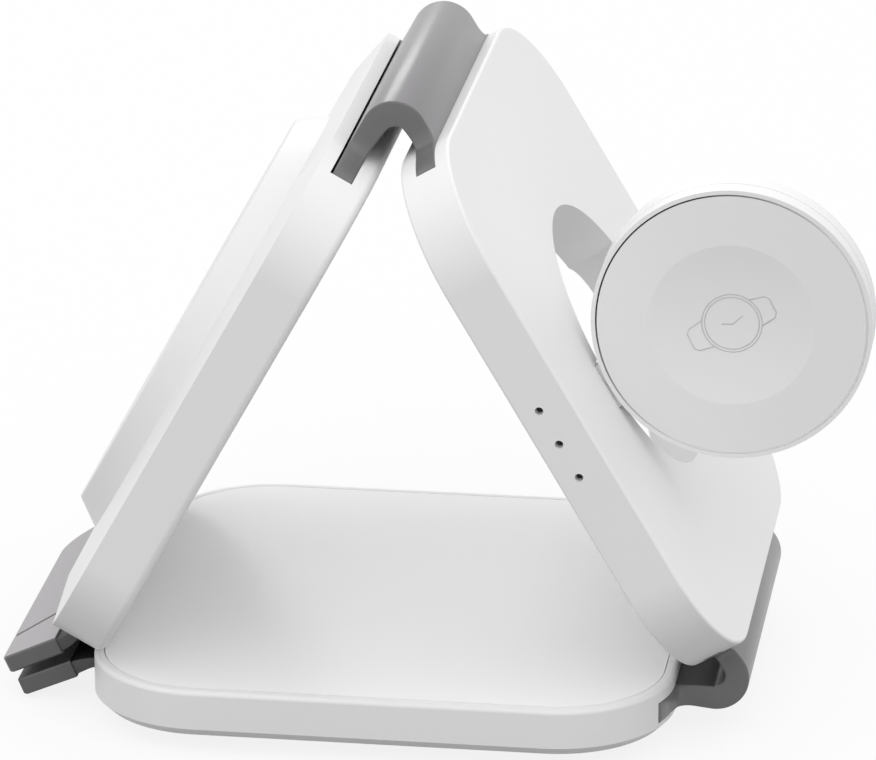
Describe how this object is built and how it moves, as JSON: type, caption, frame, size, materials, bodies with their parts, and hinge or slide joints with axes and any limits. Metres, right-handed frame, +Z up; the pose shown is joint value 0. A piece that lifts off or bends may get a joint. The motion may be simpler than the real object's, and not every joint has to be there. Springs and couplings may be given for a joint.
{
  "type": "folding wireless charger",
  "caption": "Folding wireless charger: square panels on flexible straps stand as a triangle, with a phone pad, a swing-up watch dial and a flat earbud rest.",
  "frame": {"origin": "middle of the foot pad's lower face, on the surface that the charger stands on", "axes": "+Z up, -Y towards the side that the watch dial faces, +X towards the watch panel"},
  "size_m": [0.104, 0.07, 0.0774],
  "materials": {
    "white_plastic": "satin white",
    "face_plastic": "satin light grey",
    "grey_silicone": "matte light grey",
    "foot_silicone": "matte light grey",
    "light_guide": "smoked",
    "copper": "enamelled wire",
    "ferrite": "matte sheet",
    "magnet": "plated",
    "board": "lacquered",
    "steel": "drawn"
  },
  "bodies": {
    "base": {"base_tray": "white_plastic", "base_cover": "white_plastic", "base_coil": "copper", "base_shield": "ferrite", "base_board": "board", "inlet_socket": "steel", "foot_pad": "foot_silicone", "side_strap": "grey_silicone", "lower_tab_neck": "grey_silicone"},
    "watch_panel": {"watch_panel_shell": "white_plastic", "watch_panel_cover": "white_plastic", "watch_panel_board": "board", "light_guides": "light_guide", "dial_hinge_pin": "steel", "top_strap": "grey_silicone"},
    "watch_dial": {"dial_housing": "white_plastic", "dial_face": "face_plastic", "dial_coil": "copper", "dial_shield": "ferrite", "dial_magnet": "magnet"},
    "phone_panel": {"phone_panel_shell": "white_plastic", "phone_panel_cover": "white_plastic", "phone_panel_board": "board", "phone_pad": "white_plastic", "phone_magnet_ring": "magnet", "phone_shield": "ferrite", "phone_coil": "copper", "upper_tab_neck": "grey_silicone"},
    "upper_clasp_tab": {"upper_tab": "grey_silicone", "upper_tab_magnet": "magnet"},
    "lower_clasp_tab": {"lower_tab": "grey_silicone", "lower_tab_magnet": "magnet"}
  },
  "joints": [
    {"name": "side_strap_bend", "type": "hinge", "parent": "base", "child": "watch_panel", "pos_m": [0.04232, 0, 0.00608], "axis": [0, 1, 0], "range_deg": [0, 120], "deforming": ["side_strap"]},
    {"name": "top_strap_bend", "type": "hinge", "parent": "watch_panel", "child": "phone_panel", "pos_m": [0.00148, 0, 0.07674], "axis": [0, 1, 0], "range_deg": [0, 120], "deforming": ["top_strap"]},
    {"name": "dial_hinge", "type": "hinge", "parent": "watch_panel", "child": "watch_dial", "pos_m": [0.02522, -0.0177, 0.04198], "axis": [-0.5072, 0, 0.8618], "range_deg": [0, 90]},
    {"name": "upper_tab_flex", "type": "hinge", "parent": "phone_panel", "child": "upper_clasp_tab", "pos_m": [-0.03831, 0, 0.00835], "axis": [0, 1, 0], "range_deg": [0, 40], "stiffness_Nm_per_rad": 0.01, "deforming": ["upper_tab_neck"]},
    {"name": "lower_tab_flex", "type": "hinge", "parent": "base", "child": "lower_clasp_tab", "pos_m": [-0.03647, 0, 0.00456], "axis": [0, -1, 0], "range_deg": [0, 30], "stiffness_Nm_per_rad": 0.01, "deforming": ["lower_tab_neck"]}
  ]
}
